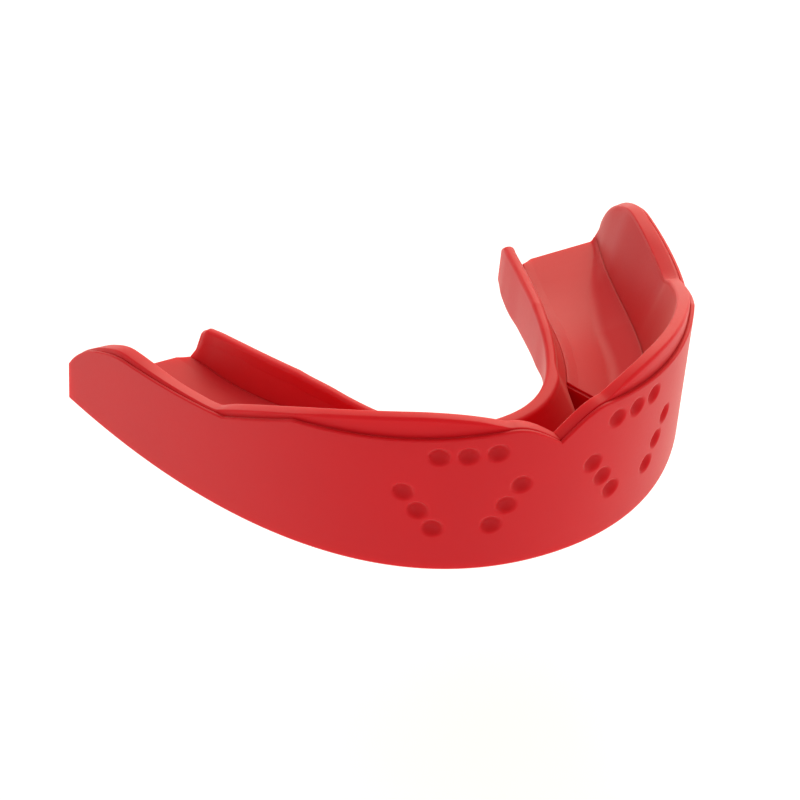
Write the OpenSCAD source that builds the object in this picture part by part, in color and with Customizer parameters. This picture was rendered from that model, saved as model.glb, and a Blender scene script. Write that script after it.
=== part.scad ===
// Sports mouthguard for the upper teeth. Units are mm.
// X is left to right, -Y is the front of the mouth, Z is up.
// Z = 0 is the flat biting side and X = 0 is the plane of symmetry.
// Every wall is a section swept along the arch. A section is given by
// d, the distance inward from the outer outline, and z, the height.

/* [Arch] */
// half width of the outer outline at its rear end
arch_half_w = 32.95; // [28:0.05:36]
// front of the outer outline to its rear end
arch_depth = 45.4; // [38:0.1:52]
// gap between the two lingual walls at the rear, halved
palate_half_w = 17.4; // [13:0.1:20]
// channel width at the front, outer outline to palate side
channel_front = 12.8; // [10:0.1:15]
// how far the front face leans forward, mm per mm of height
front_lean = 0.116; // [0:0.001:0.2]

/* [Outer shell] */
// wall thickness of the outer shell
shell_t = 1.3; // [0.8:0.05:2]
// shell height at the centre notch
notch_h = 14.85; // [10:0.05:18]
// shell height beside the notch
shoulder_h = 17.75; // [12:0.05:20]
// shell height where the rear wing starts
wing_h = 12.17; // [8:0.01:14]

/* [Inner tray] */
// height of the front humps of the tray rim
hump_h = 19.4; // [16:0.05:22]
// inner edge of the rim, measured inward from the outer face
rim_in = 1.95; // [1.5:0.05:2.6]
// height of the lingual wall round the front
lingual_h = 8.35; // [5:0.05:10]
// tray floor under the molar pads
slab_t = 1.35; // [0.8:0.05:2]
// floor thickness in the front trough
trough_t = 2.2; // [0.8:0.1:3]
// how far the molar floor rises on its palate side, near the front
palate_rise = 3.0; // [0:0.1:4]

/* [Molar pads] */
// pad thickness
pad_t = 1.2; // [0.6:0.05:2]
// height of the bevel along the outer side of a pad
pad_bevel = 1.3; // [0.2:0.05:2]

/* [Pits] */
// mouth radius of a pit
pit_r = 1.08; // [0.8:0.01:1.5]
// depth of a pit
pit_depth = 0.8; // [0.3:0.05:1.1]
// distance between neighbouring pits
pit_pitch = 2.8; // [2.4:0.05:3.5]
// arc distance from the centre line to the middle of a pit group
pit_mid_s = 9.4; // [7:0.1:12]
// height of the top row of pits
pit_top_z = 15.11; // [12:0.01:16]

/* [Hidden] */
fit_gap = 0.02;
y_mid = 23.44;
front_y = 1.61;
outer_p = [[0, front_y], [12.68, front_y], [26.7, 10.6], [arch_half_w, front_y + arch_depth]];
palate_p = [[0, front_y + channel_front], [8.9, front_y + channel_front], [11.05, 21.9],
            [palate_half_w, 45.9]];
hump_s = 12.5;    // arc distance of the hump from the centre line
kink_s = 26.1;    // shell edge starts to drop
wing_s = 34.9;    // shell edge levels out again
trough_s = 21.9;  // front end of the raised molar floor
pad_s = 22.5;     // front end of a molar pad
tail_r = 9.5;     // rounding of the wing at its rear end
seat_lip = 0.2;   // the floor in front of a pad stops this far below the pad top

function bez(p, t) = pow(1 - t, 3) * p[0] + 3 * t * pow(1 - t, 2) * p[1]
    + 3 * t * t * (1 - t) * p[2] + pow(t, 3) * p[3];
arc_n = 160;
arc_pts = [for (i = [0:arc_n]) bez(outer_p, i / arc_n)];
arc_of_t = [for (i = 0, s = 0; i <= arc_n;
    s = s + (i < arc_n ? norm(arc_pts[i + 1] - arc_pts[i]) : 0), i = i + 1) [s, i / arc_n]];
s_end = arc_of_t[arc_n][0];

function blend(x, a, b) = let (u = max(0, min(1, (x - a) / (b - a)))) u * u * (3 - 2 * u);
function lean(s) = front_lean * cos(1.9 * s);
// wing tops round down towards the rear
function tail(s) = s < s_end - tail_r - 1.5 ? 0
    : let (u = (s - s_end + tail_r + 1.5) / (tail_r + 3)) tail_r * (1 - sqrt(1 - u * u));
// top edge of the shell: notch, shoulder, drop to the wing, level wing
function edge_z(s) = (s < 4.9 ? notch_h + (shoulder_h - notch_h) * sin(18.4 * s)
    : s < kink_s ? shoulder_h - 0.085 * (s - 4.9)
    : s < wing_s ? lookup(s, [[kink_s, shoulder_h - 1.8], [wing_s, wing_h]])
    : wing_h - 0.09 * (s - wing_s)) - 0.2 * blend(s, 51, 55) - tail(s);
// step from the shell edge up to the band on the wing
function riser(s) = (0.1 + 0.03 * max(0, s - 38)) * (1 - 0.75 * blend(s, 51, 58));
// top of the tray rim: hump, then down to the wing
function rim_z(s) = max(edge_z(s) + riser(s),
    s < hump_s ? hump_h - 4.9 * pow(1 - s / hump_s, 2.2)
    : hump_h - 0.0455 * pow(s - hump_s, 1.6));
// the band's inner edge sits lower than its outer edge
function dip(s) = 0.4 * blend(s, 34, 38) * (1 - blend(s, 42, 50));
function lingual_z(s) = lingual_h - 0.3 * blend(s, 30, 38) - 0.103 * max(0, s - 38)
    - 0.5 * blend(s, s_end - 1.5, s_end);
// rise of the molar floor on its palate side, and the same with no step at the trough
function rise(s) = s < trough_s ? 0 : ramp_h(s);
function ramp_h(s) = palate_rise * (1 - blend(s, 25, 54));
function under(s) = palate_rise * blend(s, 19, 25) * (1 - blend(s, 25, 54));

function width(s) = let (t = lookup(s, arc_of_t)) norm(bez(palate_p, t) - bez(outer_p, t));
function foot_out(s) = 3.1 + 1.5 * blend(s, 20, 48) - 1.0 * blend(s, 50, s_end);
function behind(s) = blend(s, trough_s - 5, trough_s);  // trough shape turning into molar shape
function foot_in(s) = width(s) - 4.2 + 1.8 * behind(s);
// the palate face leans out this far at its foot
function heel(s) = 0.45 - 0.4 * blend(s, 10, 14) + 0.4 * blend(s, 26, 32)
    + 0.3 * blend(s, 46, 53) - 0.3 * blend(s, 56, s_end);
// thickness of the tray floor: trough, front lip of the pad seat, pad seat
function floor_t(s) = s < trough_s ? trough_t : s < pad_s - 0.04 ? slab_t + pad_t - seat_lip : slab_t;
// the pad climbs towards the outer wall by this height over this width
function bevel_h(s) = pad_bevel * (1 - 0.7 * blend(s, 50, s_end)) + 0.45 * ramp_h(s);
function bevel_w(s) = min(3.3, 0.5 + 0.16 * max(0, 57 - s));
// the rear end is cut a little forward at the foot of both walls
function set_back(s, d) = blend(s, s_end - 5, s_end)
    * (0.85 * exp(-pow((d - 4.4) / 2, 2)) - 0.4 * exp(-pow((d - 9) / 2.5, 2))
    + exp(-pow((d - width(s) + 2.2) / 2, 2)));
// height above the tray base at inward distance d on a molar floor
function slope_z(s, d) = rise(s) * max(0, min(1, (d - foot_out(s)) / (foot_in(s) - foot_out(s))));

// place a section point: s is signed, so the other side is mirrored
function place(s, q) =
    let (t = lookup(abs(s), arc_of_t), o = bez(outer_p, t), dir = bez(palate_p, t) - o,
        p = o + q[0] * dir / norm(dir))
    [sign(s) * p[0], p[1] - y_mid - set_back(abs(s), q[0]), q[1]];

function shell_section(s) = let (l = lean(s), z = edge_z(s)) [
    [shell_t, 0],
    [0.6, 0],
    [0.18, 0.18],
    [-l * 0.6, 0.6],
    [-l * (z - 0.6), z - 0.6],
    [0.1 - l * z, z - 0.2],
    [0.3 - l * z, z],
    [0.7 - l * z, z],
    [shell_t - l * (z - 2), z - 2]
];

function tray_section(s) = let (l = lean(s), z = edge_z(s), r = rim_z(s), w = width(s),
    g = shell_t + fit_gap, fo = foot_out(s), fi = foot_in(s), f = floor_t(s),
    m = (fo + fi) / 2, k = lingual_z(s), b = under(s), u = behind(s), a = 0.45 * (1 - u),
    pad_top = slab_t + pad_t,
    foot_z_out = (f + 0.9) * (1 - u) + (pad_top + bevel_h(s) + 0.03) * u,
    foot_z_in = (f + 0.9) * (1 - u) + (pad_top + ramp_h(s) + 0.1) * u) [
    [g, 0],
    [g - l * (z - 2), z - 2],
    [0.7 + fit_gap - l * z, z],
    [0.72 - l * r, max(z + 0.08, r - 0.8)],
    [1.0 - l * r, r],
    [rim_in - 0.25 - l * r, r - dip(s)],
    [rim_in - l * r, r - dip(s) - 0.3],
    [fo, foot_z_out],
    [fo, f],
    [m, f + slope_z(s, m)],
    [fi, f + slope_z(s, fi)],
    [fi, foot_z_in],
    [w - 1.5 - a, k - 1.3 + a],
    [w - 1.3 - a, k - 1.2 + 1.4 * a],
    [w - 1.2 - a, k - 0.3],
    [w - 0.9, k],
    [w - 0.4, k],
    [w - 0.05, k - 0.5],
    [w + heel(s), b + 0.8],
    [w + heel(s) - 0.25, b + 0.2],
    [w + heel(s) - 0.9, b],
    [4.6, 0]
];

function pad_section(s) = let (fo = foot_out(s) + 0.03, fi = foot_in(s) - 0.03, g = slab_t + fit_gap) [
    [fo, g + slope_z(s, fo)],
    [fo, g + slope_z(s, fo) + pad_t + bevel_h(s)],
    [fo + 0.2, g + slope_z(s, fo) + pad_t + bevel_h(s)],
    [fo + bevel_w(s), g + slope_z(s, fo + bevel_w(s)) + pad_t],
    [fi - 1.3, g + slope_z(s, fi - 1.3) + pad_t],
    [fi - 0.3, g + slope_z(s, fi) + pad_t + 0.1],
    [fi, g + slope_z(s, fi) + pad_t - 0.1],
    [fi, g + slope_z(s, fi)],
    [(fo + fi) / 2, g + slope_z(s, (fo + fi) / 2)]
];

// triangles that fill the end section of each piece
shell_cap = [for (i = [1:7]) [0, i, i + 1]];
tray_cap = concat([[0, 1, 7], [0, 7, 8], [0, 8, 21], [21, 8, 9], [21, 9, 10], [21, 10, 20]],
    [for (i = [1:5]) [7, i, i + 1]], [for (i = [11:19]) [10, i, i + 1]]);
pad_cap = [[0, 1, 2], [0, 2, 3], [0, 3, 8], [8, 3, 4], [8, 4, 7], [7, 4, 5], [7, 5, 6]];

// closed solid through a list of equal-length rings; the diagonals mirror at the middle
module loft(rings, cap) {
    n = len(rings);
    m = len(rings[0]);
    sides = [for (i = [0:n - 2], j = [0:m - 1], h = [0, 1])
        let (a = i * m + j, b = i * m + (j + 1) % m)
        i < (n - 1) / 2 ? (h == 0 ? [a, b, b + m] : [a, b + m, a + m])
        : (h == 0 ? [a, b, a + m] : [b, b + m, a + m])];
    caps = concat([for (c = cap) [c[2], c[1], c[0]]], [for (c = cap) [for (j = c) (n - 1) * m + j]]);
    polyhedron([for (r = rings) each r], concat(sides, caps), convexity = 8);
}

arch_step = 1.6;
function spread(a, b) = let (n = ceil((b - a) / arch_step)) [for (i = [0:n - 1]) a + (b - a) * i / n];
half_s = concat(spread(0, 4.9), spread(4.9, trough_s - 0.05), [trough_s - 0.05],
    spread(trough_s, pad_s - 0.05), [pad_s - 0.05], spread(pad_s - 0.03, kink_s),
    spread(kink_s, wing_s), spread(wing_s, s_end - 3), spread(s_end - 3, s_end), [s_end]);
full_s = concat([for (i = [len(half_s) - 1:-1:1]) -half_s[i]], half_s);

// pit centres as [arc step, row]: a tight top row, and a slanting row on each side below it
pit_grid = concat([for (i = [-1:1]) [0.96 * i - 0.16, 0]],
    [for (side = [-1, 1], i = [0:2]) [side * (2 - 0.5 * i), 2 + i]]);
pit_row = 0.96 * sin(60);  // height of a row, in pitches
pit_slope = 0.035;         // a group drops this much per unit of arc towards the rear
ball_r = (pit_r * pit_r + pit_depth * pit_depth) / (2 * pit_depth);

module outer_shell() {
    color([0.74, 0.03, 0.04])
    difference() {
        loft([for (s = full_s) [for (q = shell_section(abs(s))) place(s, q)]], shell_cap);
        for (side = [-1, 1], g = pit_grid) {
            s = pit_mid_s + g[0] * pit_pitch;
            z = pit_top_z - (g[1] * pit_row + g[0] * pit_slope) * pit_pitch;
            translate(place(side * s, [pit_depth - ball_r - lean(s) * z, z]))
                sphere(r = ball_r, $fn = 32);
        }
    }
}

module inner_tray() {
    color([0.74, 0.03, 0.04])
    loft([for (s = full_s) [for (q = tray_section(abs(s))) place(s, q)]], tray_cap);
}

module molar_pad_right() {
    stations = concat(spread(pad_s, s_end - 0.05), [s_end - 0.05]);
    color([0.74, 0.03, 0.04])
    loft([for (s = stations) [for (q = pad_section(s)) place(s, q)]], pad_cap);
}

module molar_pad_left() {
    mirror([1, 0, 0])
        molar_pad_right();
}

outer_shell();
inner_tray();
molar_pad_left();
molar_pad_right();
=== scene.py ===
"""Looks for the mouthguard. Metres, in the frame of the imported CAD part.

Every piece is a section swept along the arch. A section is a list of corners
(d, z, radius): d is the distance inward from the outer outline and z the
height, both in mm, and each corner is rounded to its radius. s is the arc
distance from the centre line in mm, negative where x is negative. The section
functions take its absolute value.
"""

import math

import bmesh
import bpy
import numpy as np
from mathutils import Matrix, Vector
from mathutils.geometry import delaunay_2d_cdt


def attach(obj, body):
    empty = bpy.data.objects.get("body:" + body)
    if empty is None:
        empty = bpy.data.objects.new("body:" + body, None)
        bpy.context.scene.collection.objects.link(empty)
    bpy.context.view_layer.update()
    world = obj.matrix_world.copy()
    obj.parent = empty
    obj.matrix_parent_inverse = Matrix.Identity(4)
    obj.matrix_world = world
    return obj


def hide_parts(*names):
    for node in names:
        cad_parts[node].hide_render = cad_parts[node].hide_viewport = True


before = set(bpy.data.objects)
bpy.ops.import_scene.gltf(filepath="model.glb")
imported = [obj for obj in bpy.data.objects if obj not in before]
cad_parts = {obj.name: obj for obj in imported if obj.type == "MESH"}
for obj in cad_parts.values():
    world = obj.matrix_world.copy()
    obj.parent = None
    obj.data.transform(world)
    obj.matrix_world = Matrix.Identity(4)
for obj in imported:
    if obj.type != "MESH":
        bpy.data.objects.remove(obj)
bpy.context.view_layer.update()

MM = 0.001

# ---- sizes in mm: the two curves of the CAD, and its driving sizes or close to them ----
Y_MID = 23.44
OUTER = np.array([(0, 1.61), (12.68, 1.61), (26.7, 10.6), (32.95, 47.01)])
PALATE = np.array([(0, 14.41), (8.9, 14.41), (11.05, 21.9), (17.4, 45.9)])
LEAN = 0.112
NOTCH_H, SHOULDER_H, WING_H = 14.85, 17.73, 12.15
HUMP_H, LINGUAL_H = 19.38, 8.35
SHOULDER_S, HUMP_S, KINK_S, WING_S = 4.9, 12.5, 26.1, 34.9
TROUGH_S, PAD_S = 21.9, 22.5
STEP_S = TROUGH_S - 0.3
SEAT_S = PAD_S - 0.04
SHELL_T, TROUGH_T, SLAB_T, PAD_T = 1.3, 2.2, 1.35, 1.2
RIM_OUT, RIM_IN = 0.6, 1.95
TAIL_R = 9.5
SEAT_LIP, PAD_BEVEL, PALATE_RISE = 0.2, 1.3, 3.0
TROUGH_FOOT, MOLAR_FOOT = 4.2, 2.4
GAP = 0.02


# ---- the arch ----
def bezier(p, t):
    """Points of the cubic curve with control points p."""
    t = np.asarray(t, float)[..., None]
    u = 1 - t
    return u ** 3 * p[0] + 3 * t * u ** 2 * p[1] + 3 * t * t * u * p[2] + t ** 3 * p[3]


T_TABLE = np.linspace(0, 1, 161)
CHORDS = np.linalg.norm(np.diff(bezier(OUTER, T_TABLE), axis=0), axis=1)
ARC_TABLE = np.concatenate([[0], np.cumsum(CHORDS)])
S_END = ARC_TABLE[-1]


def arch(s):
    """Point on the outer outline, unit direction inward and section width at arc distance s."""
    t = np.interp(abs(s), ARC_TABLE, T_TABLE)
    point = bezier(OUTER, t)
    across = bezier(PALATE, t) - point
    width = float(np.linalg.norm(across))
    return point, across / width, width


def blend(x, a, b):
    """0 before a, 1 after b, smooth between."""
    u = min(1.0, max(0.0, (x - a) / (b - a)))
    return u * u * (3 - 2 * u)


def mix(a, b, u):
    """a at u = 0, b at u = 1."""
    return a + (b - a) * u


# ---- heights and widths along the arch ----
def lean(s):
    """How far the outer wall leans outward, mm per mm of height."""
    return LEAN * math.cos(math.radians(1.9 * s))


def on_wing(s):
    """0 on the front wall, 1 on the rear wing."""
    return blend(s, 33, 38)


def molar(s):
    """0 in the front trough, 1 on the molar floor, with a steep step between."""
    return blend(s, STEP_S, TROUGH_S)


def behind(s):
    """0 to 1 as the wall feet turn from their trough shape into their molar shape."""
    return blend(s, TROUGH_S - 5, TROUGH_S)


def tail(s):
    """How far the wing top has rounded down towards the rear."""
    start = S_END - TAIL_R - 1.5
    if s < start:
        return 0.0
    u = (s - start) / (TAIL_R + 3)
    return TAIL_R * (1 - math.sqrt(1 - u * u))


def edge_z(s):
    """Top edge of the shell: notch, shoulder, drop to the wing, level wing."""
    if s < SHOULDER_S:
        z = NOTCH_H + (SHOULDER_H - NOTCH_H) * math.sin(math.radians(18.4 * s))
    elif s < KINK_S:
        z = SHOULDER_H - 0.085 * (s - SHOULDER_S)
    elif s < WING_S:
        z = mix(SHOULDER_H - 1.8, WING_H, (s - KINK_S) / (WING_S - KINK_S))
    else:
        z = WING_H - 0.09 * (s - WING_S)
    return z - 0.2 * blend(s, 51, 55) - tail(s)


def riser(s):
    """Step from the shell edge up to the band on the wing."""
    return (0.1 + 0.03 * max(0, s - 38)) * (1 - 0.75 * blend(s, 51, 58))


def rim_z(s):
    """Top of the tray rim: hump, then down to the wing."""
    if s < HUMP_S:
        z = HUMP_H - 4.9 * (1 - s / HUMP_S) ** 2.2
    else:
        z = HUMP_H - 0.0455 * (s - HUMP_S) ** 1.6
    return max(edge_z(s) + riser(s), z)


def dip(s):
    """How much lower the band's inner edge sits."""
    return 0.4 * blend(s, 34, 38) * (1 - blend(s, 42, 50))


def lingual_z(s):
    """Top of the lingual wall."""
    rear_drop = 0.103 * max(0, s - 38) + 0.5 * blend(s, S_END - 1.5, S_END)
    return LINGUAL_H - 0.3 * blend(s, 30, 38) - rear_drop


def ramp_h(s):
    """Rise of the molar floor on its palate side."""
    return PALATE_RISE * (1 - blend(s, 25, 54))


def under(s):
    """The underside rises this far on its palate side."""
    return ramp_h(s) * blend(s, 19, 25)


def foot_out(s):
    """Inward distance of the outer wall's foot."""
    return 3.1 + 1.5 * blend(s, 20, 48) - 1.0 * blend(s, 50, S_END)


def heel(s):
    """The palate face leans out this far at its foot."""
    return (0.42 - 0.4 * blend(s, 10, 14) + 0.4 * blend(s, 26, 32)
            + 0.3 * blend(s, 46, 53) - 0.3 * blend(s, 56, S_END))


def bevel_h(s):
    """The pad climbs towards the outer wall by this height."""
    return PAD_BEVEL * (1 - 0.7 * blend(s, 50, S_END)) + 0.45 * ramp_h(s)


def bevel_w(s):
    """Width of that bevel."""
    return min(3.3, 0.5 + 0.16 * max(0, 57 - s))


def slope_z(s, d, width):
    """Height of the molar floor above its outer edge at inward distance d."""
    foot_o, foot_i = foot_out(s), width - MOLAR_FOOT
    return ramp_h(s) * molar(s) * min(1.0, max(0.0, (d - foot_o) / (foot_i - foot_o)))


# ---- sections ----
def shell_corners(s):
    tilt, edge = lean(s), edge_z(s)
    lip = mix(0.42, 0.3, on_wing(s))
    end = blend(s, S_END - 7, S_END)
    return [
        (SHELL_T, 0, 0.05),
        (0, 0, 0.4),
        (-tilt * edge, edge, 0.2 + 0.2 * end),
        (lip - tilt * edge, edge, 0.1),
        (SHELL_T - tilt * (edge - 2), edge - 2, 0.4),
    ]


def tray_corners(s):
    tilt, edge, rim, width = lean(s), edge_z(s), rim_z(s), arch(s)[2]
    wing, back = on_wing(s), behind(s)
    end, tip = blend(s, S_END - 8, S_END), blend(s, S_END - 3, S_END)
    # the rim above the shell: a step back, then an outer face that stands up in the humps
    step = rim - edge
    hump = blend(step, 0.2, 1.4) * (1 - wing)
    lip = mix(0.46, 0.34, wing)
    neck = lip + 0.04 + 0.05 * hump
    flare, flare_z = mix(0.5, 0.56, hump), edge + mix(0.5 * step, max(0.5, step - 1.0), hump)
    # its inner edge, rounder at the rear end
    rim_in, rim_in_z = RIM_IN + 0.35 * end, rim - dip(s) - 0.15 * end
    wall_in, wall_in_z = rim_in + 0.06 + 0.35 * end, rim_in_z - 0.5 - 0.6 * end
    # the channel floor and the feet of its two walls
    foot_o, foot_i = foot_out(s), width - mix(TROUGH_FOOT, MOLAR_FOOT, back)
    mid = (foot_o + foot_i) / 2
    pad_top = SLAB_T + PAD_T
    seat = SEAT_LIP if s < SEAT_S else PAD_T
    floor_z = mix(TROUGH_T, pad_top - seat, molar(s))
    foot_o_z = mix(floor_z + 0.9, pad_top + bevel_h(s) + 0.02, back)
    foot_i_z = mix(floor_z + 0.9, pad_top + ramp_h(s) + 0.08, back)
    # the lingual wall and the underside
    top, base = lingual_z(s), under(s)
    front = 0.5 * (1 - back)
    return [
        (SHELL_T + GAP, 0, 0.05),
        (SHELL_T + GAP - tilt * (edge - 2), edge - 2, 0.4),
        (lip - tilt * edge, edge - 0.12, 0.05),
        (neck - tilt * edge, edge + 0.02, 0.3),
        (flare - tilt * flare_z, flare_z, 0.5),
        (RIM_OUT - tilt * rim, rim, mix(0.35, 0.16, wing)),
        (rim_in - tilt * rim, rim_in_z, mix(0.28, 0.14, wing) + 0.75 * end),
        (wall_in - tilt * rim, wall_in_z, 0.15 + 0.4 * end),
        (foot_o, foot_o_z, mix(0.8, 0.15, back)),
        (foot_o, floor_z, mix(0.9, 0.05, back)),
        (mid, floor_z + slope_z(s, mid, width), 0.5),
        (foot_i, floor_z + slope_z(s, foot_i, width), mix(0.9, 0.05, back)),
        (foot_i, foot_i_z, mix(0.8, 0.15, back)),
        (width - 1.45 - front - 0.3 * tip, top - 1.3 + front - 0.5 * tip, 0.6),
        (width - 1.15 - front + 0.2 * tip, top, 0.5),
        (width - 0.05, top, 0.5),
        (width + heel(s), base, 1.1),
        (4.6, 0, 1.5),
    ]


def pad_corners(s):
    width = arch(s)[2]
    foot_o, foot_i = foot_out(s) + GAP, width - MOLAR_FOOT - GAP
    bevel_in, bevel_top = foot_o + bevel_w(s), PAD_T + bevel_h(s)
    mid = (foot_o + foot_i) / 2

    def sole_z(d):
        return SLAB_T + GAP + slope_z(s, d, width)

    return [
        (foot_o, sole_z(foot_o), 0.05),
        (foot_o, sole_z(foot_o) + bevel_top, 0.05),
        (foot_o + 0.18, sole_z(foot_o) + bevel_top - 0.02, 0.12),
        (bevel_in, sole_z(bevel_in) + PAD_T, 2.4),
        (foot_i - 1.3, sole_z(foot_i - 1.3) + PAD_T, 1.0),
        (foot_i, sole_z(foot_i) + PAD_T + 0.1, 0.12),
        (foot_i, sole_z(foot_i), 0.05),
        (mid, sole_z(mid), 0.2),
    ]


# ---- outlines with rounded corners ----
MIN_CUT = 0.04     # a rounding starts at least this far from its corner
MAX_SHARE = 0.46   # and takes at most this share of each side


def rounded(corners, arc_n, parts):
    """Points round a closed outline. A corner is an arc of arc_n + 1 points, and the straight run
    after corner i is split into parts[i]."""
    pts = np.array([c[:2] for c in corners], float)
    n = len(pts)
    u = np.linspace(0, 1, arc_n + 1)[:, None]
    arcs = []
    for i in range(n):
        p, a, b = pts[i], pts[i - 1] - pts[i], pts[(i + 1) % n] - pts[i]
        len_a, len_b = np.linalg.norm(a), np.linalg.norm(b)
        a, b = a / len_a, b / len_b
        angle = math.acos(max(-1.0, min(1.0, float(a @ b))))
        cut = max(MIN_CUT, corners[i][2] / max(math.tan(angle / 2), 1e-3))
        cut = min(cut, MAX_SHARE * len_a, MAX_SHARE * len_b)
        weight = 2 * u * (1 - u) * math.sin(angle / 2)
        whole = (1 - u) ** 2 + weight + u * u
        arcs.append(((1 - u) ** 2 * (p + a * cut) + weight * p + u * u * (p + b * cut)) / whole)
    out = []
    for i in range(n):
        out.extend(arcs[i])
        a, b = arcs[i][-1], arcs[(i + 1) % n][0]
        k = parts.get(i, 1)
        out.extend(a + (b - a) * j / k for j in range(1, k))
    return np.array(out)


def ring_area(ring):
    """Twice the signed area of a closed 2D ring."""
    nxt = np.roll(ring, -1, 0)
    return float(np.sum(ring[:, 0] * nxt[:, 1] - nxt[:, 0] * ring[:, 1]))


def shrink(ring, amount):
    """Moves a closed 2D ring inward by amount, for the rounded ends of a sweep."""
    tangent = np.roll(ring, -1, 0) - np.roll(ring, 1, 0)
    tangent /= np.maximum(np.linalg.norm(tangent, axis=1), 1e-9)[:, None]
    normal = np.stack([-tangent[:, 1], tangent[:, 0]], 1) * (1 if ring_area(ring) > 0 else -1)
    return ring + normal * amount


# ---- sweeping ----
END_R = 0.06           # rounding of the ends of a sweep
END_DRAW = 0.8         # its outline is drawn in by this share of it
SAME_POINT = 1e-7      # mm, in an outline
MERGE = 2e-7           # metres, in a mesh


def set_back(s, d, width):
    """How far forward the rear end is cut at inward distance d."""
    outer_foot = 0.85 * np.exp(-((d - 4.4) / 2) ** 2)
    middle = 0.4 * np.exp(-((d - 9) / 2.5) ** 2)
    palate_foot = np.exp(-((d - width + 2.2) / 2) ** 2)
    return blend(abs(s), S_END - 5, S_END) * (outer_foot - middle + palate_foot)


def to_world(s, ring):
    """Ring points in the frame, in metres."""
    point, inward, width = arch(s)
    d, z = ring[:, 0], ring[:, 1]
    xy = point + d[:, None] * inward
    side = -1.0 if s < 0 else 1.0
    return np.column_stack([xy[:, 0] * side, xy[:, 1] - set_back(s, d, width) - Y_MID, z]) * MM


def cap_triangles(outline):
    """Triangles that fill a closed (d, z) outline, through all its points and turning as it does."""
    n = len(outline)
    points = [Vector((float(d), float(z))) for d, z in outline]
    edges = [(i, (i + 1) % n) for i in range(n)]
    found, _, triangles, origin = delaunay_2d_cdt(points, edges, [], 1, SAME_POINT)[:4]
    ids = []
    for v, source in zip(found, origin):
        ids.append(source[0] if source else min(range(n), key=lambda i: (points[i] - v).length))
    turn = ring_area(outline) > 0
    out = []
    for triangle in triangles:
        t = [ids[i] for i in triangle]
        if len(set(t)) == 3:
            out.append(t if (ring_area(outline[t]) > 0) == turn else t[::-1])
    return out


def close_up(mesh):
    """Merges coincident points, fills what that opens and makes the faces point outward."""
    bm = bmesh.new()
    bm.from_mesh(mesh)
    bmesh.ops.remove_doubles(bm, verts=bm.verts, dist=MERGE)
    open_edges = [e for e in bm.edges if len(e.link_faces) == 1]
    bmesh.ops.holes_fill(bm, edges=open_edges, sides=0)
    if bm.calc_volume(signed=True) < 0:
        bmesh.ops.reverse_faces(bm, faces=bm.faces)
    bm.to_mesh(mesh)
    bm.free()
    mesh.update()


def mesh_from_rings(name, rings, first, last):
    """Skins the rings of one sweep. first and last are the flat (d, z) outlines of its two ends."""
    n, m = len(rings), len(rings[0])
    i, j = np.meshgrid(np.arange(n - 1), np.arange(m), indexing="ij")
    a, b = i * m + j, i * m + (j + 1) % m
    quads = np.stack([a, b, b + m, a + m], -1).reshape(-1, 4)
    caps = [t[::-1] for t in cap_triangles(first)]
    caps += [[(n - 1) * m + i for i in t] for t in cap_triangles(last)]
    mesh = bpy.data.meshes.new(name)
    mesh.from_pydata(np.concatenate(rings).tolist(), [], quads.tolist() + caps)
    mesh.validate()
    close_up(mesh)
    obj = bpy.data.objects.new(name, mesh)
    bpy.context.scene.collection.objects.link(obj)
    for p in mesh.polygons:
        p.use_smooth = len(p.vertices) == 4
    return obj


def stations(start, end, step, ends, dense=None):
    """Arc distances from start to end. They are closer before dense[0], where dense[1] is the step,
    and at the rounded ends."""
    marks = [start, end, SHOULDER_S, STEP_S, TROUGH_S, SEAT_S - 0.01, SEAT_S + 0.01, KINK_S, WING_S]
    if dense:
        marks.append(dense[0])
    marks = sorted(m for m in set(marks) if start <= m <= end)
    out = []
    for a, b in zip(marks, marks[1:]):
        n = max(1, math.ceil((b - a) / (dense[1] if dense and b <= dense[0] else step)))
        out.extend(a + (b - a) * i / n for i in range(n))
    out.append(end)
    turns = [math.radians(a) for a in range(0, 91, 15)]
    if "rear" in ends:
        out = [s for s in out if s < end - END_R]
        out += [end - END_R * (1 - math.sin(a)) for a in turns]
    if "front" in ends:
        out = [s for s in out if s > start + END_R]
        out = [start + END_R * (1 - math.cos(a)) for a in turns] + out
    return out


def both_sides(half):
    """The stations of one half, and their mirror images before them."""
    return [-s for s in reversed(half) if s > 0] + half


def end_inset(s, start, end, ends):
    """How far a section near a rounded end is drawn in."""
    inset = 0.0
    for flag, dist in (("front", s - start), ("rear", end - s)):
        if flag in ends and dist < END_R:
            inset = END_R - math.sqrt(max(0.0, END_R ** 2 - (END_R - dist) ** 2))
    return inset * END_DRAW


def sweep(name, corners, places, start, end, ends, arc_n, parts, shape=None, hold=None):
    """One piece, through the signed arc distances in places. shape(s, ring) changes a ring, and
    hold(s, ring) is 1 where a rounded end must stay full, against the part it touches."""
    rings, flat = [], []
    for s in places:
        ring = rounded(corners(abs(s)), arc_n, parts)
        if shape:
            ring = shape(abs(s), ring)
        inset = end_inset(abs(s), start, end, ends)
        if inset > 0:
            keep = hold(abs(s), ring)[:, None] if hold else 0.0
            ring = shrink(ring, inset * (1 - keep))
        flat.append(ring)
        rings.append(to_world(s, ring))
    return mesh_from_rings(name, rings, flat[0], flat[-1])


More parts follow.
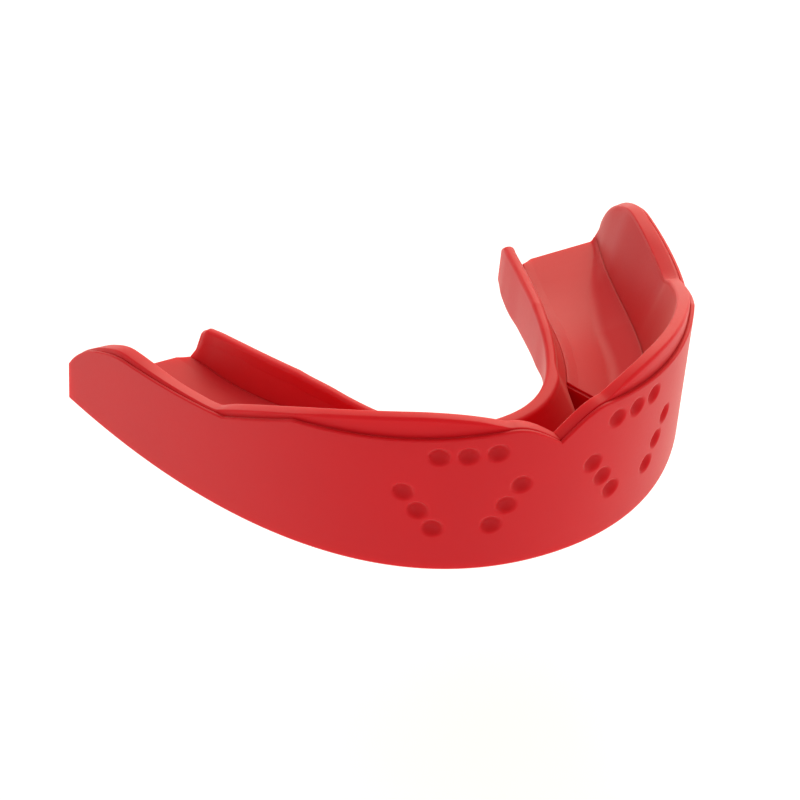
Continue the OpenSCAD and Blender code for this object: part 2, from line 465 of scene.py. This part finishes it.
# ---- pits in the front of the shell; the grid gives the arc step and row of each, in pitches ----
PIT_R, PIT_DEPTH, PIT_PITCH = 1.08, 0.7, 2.8
PIT_LIP, PIT_REACH = 0.05, 1.35 * PIT_R
PIT_ROW, PIT_SLOPE = 0.96 * math.sin(math.radians(60)), 0.035
PIT_MID_S, PIT_TOP_Z = 9.4, 15.11
PIT_GRID = [(0.96 * i - 0.16, 0) for i in (-1, 0, 1)]
PIT_GRID += [(side * (2 - 0.5 * i), 2 + i) for side in (-1, 1) for i in range(3)]
PITS = [(PIT_MID_S + g[0] * PIT_PITCH, PIT_TOP_Z - (g[1] * PIT_ROW + g[0] * PIT_SLOPE) * PIT_PITCH)
        for g in PIT_GRID]
BALL_R = (PIT_R ** 2 + PIT_DEPTH ** 2) / (2 * PIT_DEPTH)
FRONT_CURVE = 0.028    # 1 / mm, bend of the front of the outer outline


def pit_depth(r):
    """Depth of a pit at distance r from its centre: a bowl with a softly rounded lip."""
    bowl = math.sqrt(max(0.0, BALL_R ** 2 - r ** 2)) - (BALL_R - PIT_DEPTH)
    return PIT_LIP * math.log1p(math.exp(bowl / PIT_LIP))


def press_pits(s, ring):
    """Presses the round pits into the outer face of one shell ring."""
    tilt, top = lean(s), edge_z(s) - 0.3
    out = ring.copy()
    for pit_s, pit_z in PITS:
        along = (s - pit_s) * (1 + tilt * pit_z * FRONT_CURVE)
        if abs(along) > PIT_REACH:
            continue
        for i, (d, z) in enumerate(ring):
            r = math.hypot(along, z - pit_z)
            if r < PIT_REACH and d <= 0.35 - tilt * z and 1 <= z <= top:
                out[i, 0] += pit_depth(r)
    return out


def under_pad(s, ring):
    """1 on the tray where the pad lies on it."""
    d, z = ring[:, 0], ring[:, 1]
    return ((d > foot_out(s) - 0.3) & (d < arch(s)[2] - 2.1) & (z > 1.0)).astype(float)


def pad_sole(s, ring):
    """1 on the pad faces that touch the tray."""
    width = arch(s)[2]
    return np.array([float(z < SLAB_T + slope_z(s, d, width) + PAD_T * 0.7) for d, z in ring])


# ---- the four pieces ----
PIT_ZONE = (17.0, 0.14)            # up to this arc distance the shell has a section this often
SHELL_PARTS = {1: 120}             # the outer face
TRAY_PARTS = {7: 4, 16: 4, 17: 4}  # the inner face of the outer wall and the underside
PAD_PARTS = {4: 4}                 # the top, beside the lingual wall
PAD_END = S_END - 0.05

shell_half = stations(0, S_END, 0.5, ("rear",), dense=PIT_ZONE)
shell = sweep("shell_skin", shell_corners, both_sides(shell_half), 0, S_END, ("rear",), 6,
              SHELL_PARTS, shape=press_pits)

tray_half = stations(0, S_END, 0.4, ("rear",))
tray = sweep("tray_skin", tray_corners, both_sides(tray_half), 0, S_END, ("rear",), 5,
             TRAY_PARTS, hold=under_pad)

pad_half = stations(PAD_S, PAD_END, 0.4, ("front", "rear"))
pad_right = sweep("pad_right_skin", pad_corners, pad_half, PAD_S, PAD_END, ("front", "rear"), 5,
                  PAD_PARTS, hold=pad_sole)
pad_left = sweep("pad_left_skin", pad_corners, [-s for s in reversed(pad_half)], PAD_S, PAD_END,
                 ("front", "rear"), 5, PAD_PARTS, hold=pad_sole)

for obj, node, slot in ((shell, "outer_shell", "shell"), (tray, "inner_tray", "tray"),
                        (pad_left, "molar_pad_left", "pad"), (pad_right, "molar_pad_right", "pad")):
    obj.data.set_sharp_from_angle(angle=math.radians(55))
    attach(obj, "root")
    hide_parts(node)


# ---- material: satin red moulded thermoplastic ----
BASE = (0.57, 0.002, 0.008)
BASE_SPREAD = 0.04
ROUGH, ROUGH_SPREAD = 0.49, 0.04
CLOUD_SCALE, GRAIN_SCALE = 90, 2600
GRAIN_DEPTH = 0.00002


def moulded_red():
    """Red that varies softly in clouds, with a fine grain in its roughness and height."""
    mat = bpy.data.materials.new("moulded_red")
    mat.use_nodes = True
    nodes, links = mat.node_tree.nodes, mat.node_tree.links
    bsdf = nodes["Principled BSDF"]
    coord = nodes.new("ShaderNodeTexCoord")
    cloud = nodes.new("ShaderNodeTexNoise")
    cloud.inputs["Scale"].default_value = CLOUD_SCALE
    cloud.inputs["Detail"].default_value = 3
    links.new(coord.outputs["Object"], cloud.inputs["Vector"])
    tint = nodes.new("ShaderNodeMix")
    tint.data_type = "RGBA"
    tint.inputs["A"].default_value = (*[c * (1 - BASE_SPREAD) for c in BASE], 1)
    tint.inputs["B"].default_value = (*[c * (1 + BASE_SPREAD) for c in BASE], 1)
    links.new(cloud.outputs["Fac"], tint.inputs["Factor"])
    links.new(tint.outputs["Result"], bsdf.inputs["Base Color"])
    grain = nodes.new("ShaderNodeTexNoise")
    grain.inputs["Scale"].default_value = GRAIN_SCALE
    grain.inputs["Detail"].default_value = 4
    links.new(coord.outputs["Object"], grain.inputs["Vector"])
    span = nodes.new("ShaderNodeMapRange")
    span.inputs["To Min"].default_value = ROUGH - ROUGH_SPREAD
    span.inputs["To Max"].default_value = ROUGH + ROUGH_SPREAD
    links.new(grain.outputs["Fac"], span.inputs["Value"])
    links.new(span.outputs["Result"], bsdf.inputs["Roughness"])
    bump = nodes.new("ShaderNodeBump")
    bump.inputs["Strength"].default_value = 0.12
    bump.inputs["Distance"].default_value = GRAIN_DEPTH
    links.new(grain.outputs["Fac"], bump.inputs["Height"])
    links.new(bump.outputs["Normal"], bsdf.inputs["Normal"])
    bsdf.inputs["Specular IOR Level"].default_value = 0.2
    bsdf.inputs["Sheen Weight"].default_value = 0.16
    bsdf.inputs["Sheen Roughness"].default_value = 0.4
    bsdf.inputs["Sheen Tint"].default_value = (1, 0.88, 0.78, 1)
    bsdf.inputs["Subsurface Weight"].default_value = 0.45
    bsdf.inputs["Subsurface Radius"].default_value = (1.0, 0.1, 0.1)
    bsdf.inputs["Subsurface Scale"].default_value = 0.003
    return mat


red = moulded_red()
for obj in (shell, tray, pad_left, pad_right):
    obj.data.materials.clear()
    obj.data.materials.append(red)

# ---- stage: a pale floor that glows a little, below the guard ----
FLOOR_Z = -0.032
bpy.ops.mesh.primitive_plane_add(size=6, location=(0, 0, FLOOR_Z))
floor = bpy.context.object
floor.name = "floor"
pale = bpy.data.materials.new("floor_pale")
pale.use_nodes = True
pale_bsdf = pale.node_tree.nodes["Principled BSDF"]
pale_bsdf.inputs["Base Color"].default_value = (0.92, 0.94, 0.97, 1)
pale_bsdf.inputs["Roughness"].default_value = 0.9
pale_bsdf.inputs["Emission Color"].default_value = (1, 1, 1, 1)
pale_bsdf.inputs["Emission Strength"].default_value = 0.3
floor.data.materials.append(pale)

# ---- light: a warm world, and two soft boxes behind and to the right ----
world = bpy.data.worlds.new("studio")
bpy.context.scene.world = world
world.use_nodes = True
sky = world.node_tree.nodes["Background"]
sky.inputs["Color"].default_value = (1, 0.93, 0.85, 1)
sky.inputs["Strength"].default_value = 0.76


def soft_box(name, place, size, watts, tint):
    """A round area light that faces the origin."""
    data = bpy.data.lights.new(name, "AREA")
    data.shape = "DISK"
    data.size = size
    data.energy = watts
    data.color = tint
    obj = bpy.data.objects.new(name, data)
    obj.location = place
    obj.rotation_euler = (-Vector(place)).to_track_quat("-Z", "Y").to_euler()
    bpy.context.scene.collection.objects.link(obj)


soft_box("back", (0.5, 0.62, 0.49), 0.75, 5.6, (1, 0.88, 0.7))
soft_box("right", (0.82, -0.4, 0.25), 0.4, 1.1, (1, 0.95, 0.85))

bpy.context.scene.view_settings.view_transform = "Standard"

# ---- camera: azimuth and elevation in degrees, place in mm ----
CAM_AZ, CAM_EL = 26.25, 36.0
CAM_PLACE = (-132.06, -255.99, 213.92)
CAM_LENS, CAM_SENSOR = 156.06, 36
az, el = math.radians(CAM_AZ), math.radians(CAM_EL)
right = Vector((math.cos(az), -math.sin(az), 0))
up = Vector((math.sin(az) * math.sin(el), math.cos(az) * math.sin(el), math.cos(el)))
axes = Matrix((right, up, right.cross(up))).transposed().to_4x4()
cam = bpy.data.cameras.new("camera")
cam.lens = CAM_LENS
cam.sensor_width = CAM_SENSOR
cam.clip_start = 0.01
cam_obj = bpy.data.objects.new("camera", cam)
cam_obj.matrix_world = Matrix.Translation(Vector(CAM_PLACE) * MM) @ axes
bpy.context.scene.collection.objects.link(cam_obj)
bpy.context.scene.camera = cam_obj
